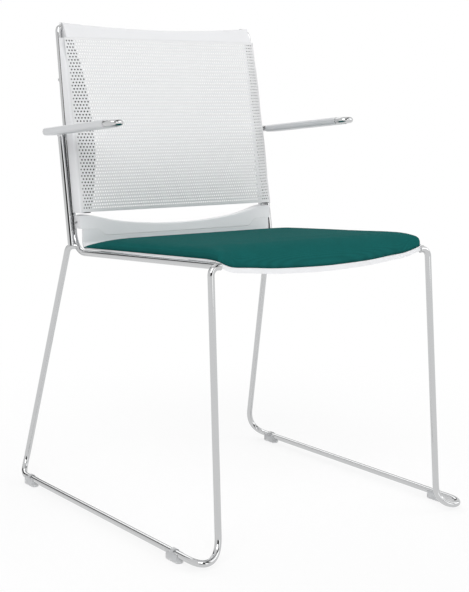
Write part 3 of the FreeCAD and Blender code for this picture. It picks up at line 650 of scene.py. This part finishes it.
def net_plan(look):
    """The net laid flat: points (x, z) and faces of a sheet with staggered holes.

    Each row has cells of one pitch; every second row is shifted by half a pitch and has
    a closed half cell at each end.  A cell is a ring of six quads between the points of
    its border and a six-sided hole.
    """
    width = 2 * (NET_HALF_WIDTH - SIDE_BAND)
    columns = int(round(width / look.column_pitch))
    pitch = width / columns
    rows = int((BACK_TOP - HEM_HEIGHT - HEM_BAND - TOP_BAND) / look.row_pitch)
    foot = HEM_HEIGHT + HEM_BAND
    rise = (BACK_TOP - TOP_BAND - foot) / rows
    left = -columns * pitch / 2
    row, column = np.meshgrid(np.arange(rows), np.arange(columns), indexing="ij")
    shifted = row % 2
    keep = ~((shifted == 1) & (column == columns - 1))
    row, column, shifted = row[keep], column[keep], shifted[keep]
    centre_x = left + (column + 0.5 + 0.5 * shifted) * pitch
    centre_z = foot + (row + 0.5) * rise
    border = np.array([(-1, -1), (0, -1), (1, -1), (1, 1), (0, 1), (-1, 1)])
    oval = np.array([(-1, -0.5), (0, -1), (1, -0.5), (1, 0.5), (0, 1), (-1, 0.5)])
    size = np.array([pitch / 2, rise / 2])
    hole = np.array([look.hole_width / 2, look.hole_height / 2])
    centre = np.stack([centre_x, centre_z], axis=-1)[:, None, :]
    points = np.concatenate([centre + border * size, centre + oval * hole], axis=1)
    base = (np.arange(len(centre_x)) * 12)[:, None]
    ring = np.arange(6)
    after = (ring + 1) % 6
    quads = np.stack([base + ring, base + after, base + after + 6, base + ring + 6],
                     axis=-1).reshape(-1, 4)
    points = points.reshape(-1, 2)

    patches = []

    def strip(xs, zs):
        patches.append(np.meshgrid(xs, zs))

    half_steps = left + np.arange(2 * columns + 1) * pitch / 2
    xs = np.concatenate([[-NET_HALF_WIDTH], half_steps, [NET_HALF_WIDTH]])
    strip(xs, np.array([HEM_HEIGHT, HEM_HEIGHT + HEM_FOLD, foot]))
    strip(xs, np.array([foot + rows * rise, BACK_TOP - TOP_BAND / 2, BACK_TOP]))
    for end in (-1, 1):
        sides = np.sort(np.array([end * NET_HALF_WIDTH, end * -left]))
        strip(sides, foot + np.arange(rows + 1) * rise)
        for odd in range(1, rows, 2):
            inner = np.sort(np.array([end * -left, end * (-left - pitch / 2)]))
            strip(inner, foot + (odd + np.array([0.0, 1.0])) * rise)
    all_points = [points]
    all_faces = [quads]
    count = len(points)
    for grid_x, grid_z in patches:
        number = np.arange(grid_x.size).reshape(grid_x.shape) + count
        all_points.append(np.stack([grid_x.reshape(-1), grid_z.reshape(-1)], axis=-1))
        all_faces.append(np.stack([number[:-1, :-1], number[:-1, 1:], number[1:, 1:],
                                   number[1:, :-1]], axis=-1).reshape(-1, 4))
        count += grid_x.size
    points = np.concatenate(all_points)
    faces = np.concatenate(all_faces)
    keys = np.round(points / 1e-6).astype(np.int64)
    _, first, place = np.unique(keys, axis=0, return_index=True, return_inverse=True)
    return points[first], place.reshape(-1)[faces]


def net_points(plan):
    """Puts flat net points on the back's surface."""
    x, z = plan[:, 0], plan[:, 1]
    return np.stack([x, net_depth(x, z) + SHIFT, z], axis=-1)


# Operators.
class FinishRods(bpy.types.Operator):
    """Gives the bent rods and cross bars their bright plate"""
    bl_idname = "mesh_chair.finish_rods"
    bl_label = "Finish rods"

    def execute(self, context):
        look = context.scene.chair_rods
        material = worn_material("bright plated steel", look.colour, look.roughness, amount=0.05,
                                 dust=0.02, patch_size=9.0, grain_size=300.0,
                                 grain_depth=0.00001, Metallic=1.0)
        names = both("sled_rod") + both("seat_back_rod") + both("arm_rod")
        paint(names + ["front_crossbar", "rear_crossbar"], material)
        return {"FINISHED"}


class FinishMouldings(bpy.types.Operator):
    """Gives the shell, belt, top rail, side members, saddles and arm pads their plastic"""
    bl_idname = "mesh_chair.finish_mouldings"
    bl_label = "Finish mouldings"
    # A face counts as forward from the first to the second Y of its normal, and the painted
    # shade colour fades out over the edge's width.
    forward = (-0.5, -0.7)
    edge_width = 0.006

    def execute(self, context):
        look = context.scene.chair_mouldings
        shell = worn_material("pale moulded plastic", look.shell, roughness=0.42, amount=0.05,
                              dust=0.04, patch_size=16.0, grain_size=1400.0,
                              grain_depth=0.00006, Coat_Weight=0.08)
        paint(["seat_shell", "lumbar_belt", "back_top_rail", "crossbar_saddles"], shell)
        member = worn_material("side member plastic with painted shade", look.shell, roughness=0.45, amount=0.05,
                               dust=0.04, patch_size=16.0, grain_size=1400.0,
                               grain_depth=0.00006)
        self.paint_front_shade(member, look.painted_net_shade)
        paint(both("back_side_member"), member)
        pad = worn_material("grey arm plastic", look.pad, roughness=0.36, amount=0.06,
                            dust=0.05, patch_size=22.0, grain_size=1600.0,
                            grain_depth=0.00008)
        paint(both("arm_pad"), pad)
        return {"FINISHED"}

    def paint_front_shade(self, material, colour):
        """Paints shade: gives the faces that look forward a dark colour, up to the net's outer
        edge.
        """
        tree = material.node_tree
        shader = tree.nodes["Principled BSDF"]
        pale = shader.inputs["Base Color"].links[0].from_socket
        geometry = node(tree, "ShaderNodeNewGeometry")
        split = node(tree, "ShaderNodeSeparateXYZ", {0: geometry.outputs["Normal"]})
        place = node(tree, "ShaderNodeTexCoord")
        spot = node(tree, "ShaderNodeSeparateXYZ", {0: place.outputs["Object"]})
        side = math_node(tree, "ABSOLUTE", spot.outputs["X"])
        share = math_node(tree, "MULTIPLY", ramp(tree, split.outputs["Y"], *self.forward),
                          ramp(tree, side, NET_HALF_WIDTH, NET_HALF_WIDTH - self.edge_width))
        mix = node(tree, "ShaderNodeMix", {"Factor": share, 6: pale, 7: rgba(colour)},
                   data_type="RGBA")
        tree.links.new(mix.outputs[2], shader.inputs["Base Color"])


class FinishSmallParts(bpy.types.Operator):
    """Gives the glides, the screws and the inner board their finishes"""
    bl_idname = "mesh_chair.finish_small_parts"
    bl_label = "Finish small parts"

    def execute(self, context):
        milky = worn_material("milky glide plastic", (0.70, 0.71, 0.72), roughness=0.3,
                              amount=0.08, dust=0.06, patch_size=60.0, grain_size=900.0,
                              grain_depth=0.00004, Transmission_Weight=0.35, IOR=1.46)
        paint(both("glide_front") + both("glide_rear"), milky)
        steel = worn_material("zinc plated steel", (0.56, 0.56, 0.57), roughness=0.32,
                              amount=0.1, dust=0.03, patch_size=120.0, grain_size=2200.0,
                              grain_depth=0.00002, Metallic=1.0)
        paint(["saddle_screws", "back_screws", "rail_screws"], steel)
        board = worn_material("raw board", (0.50, 0.36, 0.22), roughness=0.75, amount=0.3,
                              dust=0.0, patch_size=30.0, grain_size=500.0,
                              grain_depth=0.0002)
        paint(["seat_pad_board"], board)
        return {"FINISHED"}


class BuildSeatPad(bpy.types.Operator):
    """Builds the woven seat pad, swells its cloth and lays it on the shell"""
    bl_idname = "mesh_chair.build_seat_pad"
    bl_label = "Build seat pad"

    def execute(self, context):
        look = context.scene.chair_pad
        material, tree, shader = new_material("teal woven cloth", Sheen_Weight=0.0,
                                              Specular_IOR_Level=0.03)
        place = node(tree, "ShaderNodeTexCoord")
        weave = group_node(tree, "woven cloth", {"Vector": place.outputs["Object"],
                                                 "Colour": rgba(look.colour),
                                                 "Thread pitch": 0.0011, "Yarn contrast": 0.5})
        tree.links.new(weave.outputs["Colour"], shader.inputs["Base Color"])
        tree.links.new(weave.outputs["Roughness"], shader.inputs["Roughness"])
        relief(tree, shader, weave.outputs["Height"], 0.0002, 0.5)
        points, faces = closed_grid(*pad_surface(look))
        lift = swell(look, points, faces)
        points, faces = closed_grid(*pad_surface(look, lift))
        pad = mesh_piece("seat_pad", points, faces, material)
        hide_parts("seat_cushion")
        return {"FINISHED"}


class BuildNet(bpy.types.Operator):
    """Builds the knitted back net with its holes, and its hems"""
    bl_idname = "mesh_chair.build_net"
    bl_label = "Build back net"

    def execute(self, context):
        look = context.scene.chair_net
        material, tree, shader = new_material("pale knitted net", Roughness=0.6,
                                              Sheen_Weight=0.05)
        place = node(tree, "ShaderNodeTexCoord")
        knit = group_node(tree, "knitted yarn", {"Vector": place.outputs["Object"],
                                                 "Colour": rgba(look.colour)})
        tree.links.new(knit.outputs["Colour"], shader.inputs["Base Color"])
        relief(tree, shader, knit.outputs["Height"], 0.0001, 0.3)
        plan, faces = net_plan(look)
        net = mesh_piece("back_net", net_points(plan), faces, material)
        thick = net.modifiers.new("thickness", "SOLIDIFY")
        thick.thickness = look.thickness
        thick.offset = -1.0
        apply_modifiers(net)
        net.data.polygons.foreach_set("use_smooth", np.zeros(len(net.data.polygons), dtype=bool))
        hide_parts("back_mesh")
        return {"FINISHED"}


# Brightness of the studio in reflections, and as light on the object.
STUDIO_SHINE = 0.93
STUDIO_LIGHT = 0.62
# Panels that the bright rods reflect: compass angle from +Y towards +X, half width, lowest
# and highest point as the sine of the height, and brightness.
PANELS = (
    (0.12, 0.52, 0.16, 0.76, 0.02),
    (-2.64, 0.5, 0.08, 0.8, 0.02),
    (2.2, 0.7, 0.45, 0.92, 0.02),
    (2.93, 0.17, -0.35, 0.5, 1.75),
)
# Lamps: name, place, side and power.
LAMPS = (
    ("key", (-2.2, -2.4, 3.0), 2.4, 60.0),
    ("fill", (2.6, -1.6, 2.2), 2.6, 30.0),
    ("back", (0.6, 2.8, 2.6), 2.4, 30.0),
)
LAMP_AIM = (0.0, 0.0, 0.5)
FLOOR_REACH = 14.0


class BuildStage(bpy.types.Operator):
    """Builds the pale floor, the soft studio light and the camera"""
    bl_idname = "mesh_chair.build_stage"
    bl_label = "Build stage"
    # Distances between which the floor fades into plain white, and its plain share at first.
    fade = (0.45, 1.3)
    plain_share = 0.78

    def execute(self, context):
        look = context.scene.chair_stage
        scene = context.scene
        scene.view_settings.view_transform = "Standard"
        floor_mesh = bpy.data.meshes.new("floor")
        floor_mesh.from_pydata([(-FLOOR_REACH, -FLOOR_REACH, 0), (FLOOR_REACH, -FLOOR_REACH, 0),
                                (FLOOR_REACH, FLOOR_REACH, 0), (-FLOOR_REACH, FLOOR_REACH, 0)],
                               [], [(0, 1, 2, 3)])
        floor = bpy.data.objects.new("floor", floor_mesh)
        scene.collection.objects.link(floor)
        floor_mesh.materials.append(self.floor_material())
        self.build_world(scene)
        for lamp in LAMPS:
            self.lamp(*lamp)
        camera = bpy.data.cameras.new("photo view")
        camera.sensor_fit = "VERTICAL"
        camera.sensor_height = 36.0
        camera.lens = look.lens
        camera.clip_end = 60.0
        eye = bpy.data.objects.new("photo view", camera)
        scene.collection.objects.link(eye)
        eye.location = (look.camera_x, look.camera_y, look.camera_z)
        eye.rotation_euler = (math.pi / 2 - look.pitch, 0.0, -look.yaw)
        scene.camera = eye
        return {"FINISHED"}

    def floor_material(self):
        """White floor that keeps the soft shadow: part of it is lit, part is plain white.

        The plain part grows from near the chair outwards, so the floor fades into white.
        """
        material = bpy.data.materials.new("white floor")
        material.use_nodes = True
        tree = material.node_tree
        tree.nodes.clear()
        lit = node(tree, "ShaderNodeBsdfDiffuse", {"Color": (0.93, 0.93, 0.93, 1.0)})
        plain = node(tree, "ShaderNodeEmission", {"Color": (1.0, 1.0, 1.0, 1.0),
                                                  "Strength": 1.0})
        path = node(tree, "ShaderNodeLightPath")
        seen = math_node(tree, "MAXIMUM", path.outputs["Is Camera Ray"],
                         math_node(tree, "MAXIMUM", path.outputs["Is Glossy Ray"],
                                   path.outputs["Is Transmission Ray"]))
        spot = node(tree, "ShaderNodeNewGeometry")
        distance = node(tree, "ShaderNodeVectorMath", {0: spot.outputs["Position"]},
                        operation="LENGTH")
        plainness = ramp(tree, distance.outputs["Value"], *self.fade, low=self.plain_share,
                         shape="SMOOTHSTEP")
        share = math_node(tree, "MULTIPLY", seen, plainness)
        mix = node(tree, "ShaderNodeMixShader", {0: share, 1: lit.outputs[0],
                                                 2: plain.outputs[0]})
        out = node(tree, "ShaderNodeOutputMaterial")
        tree.links.new(mix.outputs[0], out.inputs["Surface"])
        return material

    def build_world(self, scene):
        """White for the camera; reflections also see the panels of a studio.

        Each panel is a function of the direction alone: a product of smooth steps of the
        compass angle and of the height over the horizon.
        """
        world = bpy.data.worlds.new("studio")
        scene.world = world
        world.use_nodes = True
        tree = world.node_tree
        tree.nodes.clear()
        place = node(tree, "ShaderNodeTexCoord")
        split = node(tree, "ShaderNodeSeparateXYZ", {0: place.outputs["Generated"]})
        angle = math_node(tree, "ARCTAN2", split.outputs["X"], split.outputs["Y"])

        def step(value, start, end):
            return ramp(tree, value, start, end, shape="SMOOTHSTEP")

        height = split.outputs["Z"]
        studio = STUDIO_SHINE
        for middle, reach, low, high, value in PANELS:
            turned = math_node(tree, "COSINE", math_node(tree, "SUBTRACT", angle, middle))
            across = step(turned, math.cos(reach * 1.2), math.cos(reach * 0.8))
            share = math_node(tree, "MULTIPLY", across,
                              math_node(tree, "MULTIPLY", step(height, low - 0.04, low + 0.04),
                                        step(height, high + 0.05, high - 0.05)))
            mix = node(tree, "ShaderNodeMix", {"Factor": share, 2: studio, 3: value},
                       data_type="FLOAT")
            studio = mix.outputs[0]
        path = node(tree, "ShaderNodeLightPath")
        soft = node(tree, "ShaderNodeMix", {"Factor": path.outputs["Is Glossy Ray"],
                                            2: STUDIO_LIGHT, 3: studio}, data_type="FLOAT")
        seen = math_node(tree, "MAXIMUM", path.outputs["Is Camera Ray"],
                         path.outputs["Is Transmission Ray"])
        total = node(tree, "ShaderNodeMix", {"Factor": seen, 2: soft.outputs[0], 3: 1.0},
                     data_type="FLOAT")
        background = node(tree, "ShaderNodeBackground",
                          {"Color": (1, 1, 1, 1), "Strength": total.outputs[0]})
        out = node(tree, "ShaderNodeOutputWorld")
        tree.links.new(background.outputs[0], out.inputs["Surface"])

    def lamp(self, name, place, size, power):
        """A square soft light that looks at the seat."""
        data = bpy.data.lights.new(name, "AREA")
        data.shape = "SQUARE"
        data.size = size
        data.energy = power
        made = bpy.data.objects.new(name, data)
        bpy.context.scene.collection.objects.link(made)
        aim = np.array(LAMP_AIM) - np.array(place)
        flat = math.hypot(aim[0], aim[1])
        made.location = place
        made.rotation_euler = (math.atan2(flat, -aim[2]), 0.0,
                               math.atan2(aim[1], aim[0]) - math.pi / 2)


class ChairPanel(bpy.types.Panel):
    """Lists the chair's steps in the sidebar"""
    bl_idname = "VIEW3D_PT_mesh_chair"
    bl_label = "Mesh chair"
    bl_space_type = "VIEW_3D"
    bl_region_type = "UI"
    bl_category = "Mesh chair"

    def draw(self, context):
        for step in STEPS:
            self.layout.operator(step.bl_idname)


LOOKS = {"chair_rods": RodLook, "chair_mouldings": MouldingLook, "chair_pad": SeatPadLook,
         "chair_net": NetLook, "chair_stage": StageLook}
STEPS = (BuildStage, FinishRods, FinishMouldings, FinishSmallParts, BuildNet, BuildSeatPad)


def register():
    for look in LOOKS.values():
        bpy.utils.register_class(look)
    for step in STEPS + (ChairPanel,):
        bpy.utils.register_class(step)
    for name, look in LOOKS.items():
        setattr(bpy.types.Scene, name, bpy.props.PointerProperty(type=look))


def unregister():
    for name in LOOKS:
        delattr(bpy.types.Scene, name)
    for step in reversed(STEPS + (ChairPanel,)):
        bpy.utils.unregister_class(step)
    for look in reversed(list(LOOKS.values())):
        bpy.utils.unregister_class(look)


def main():
    register()
    bpy.ops.mesh_chair.build_stage()
    bpy.ops.mesh_chair.finish_rods()
    bpy.ops.mesh_chair.finish_mouldings()
    bpy.ops.mesh_chair.finish_small_parts()
    bpy.ops.mesh_chair.build_net()
    bpy.ops.mesh_chair.build_seat_pad()


if __name__ == "__main__":
    main()
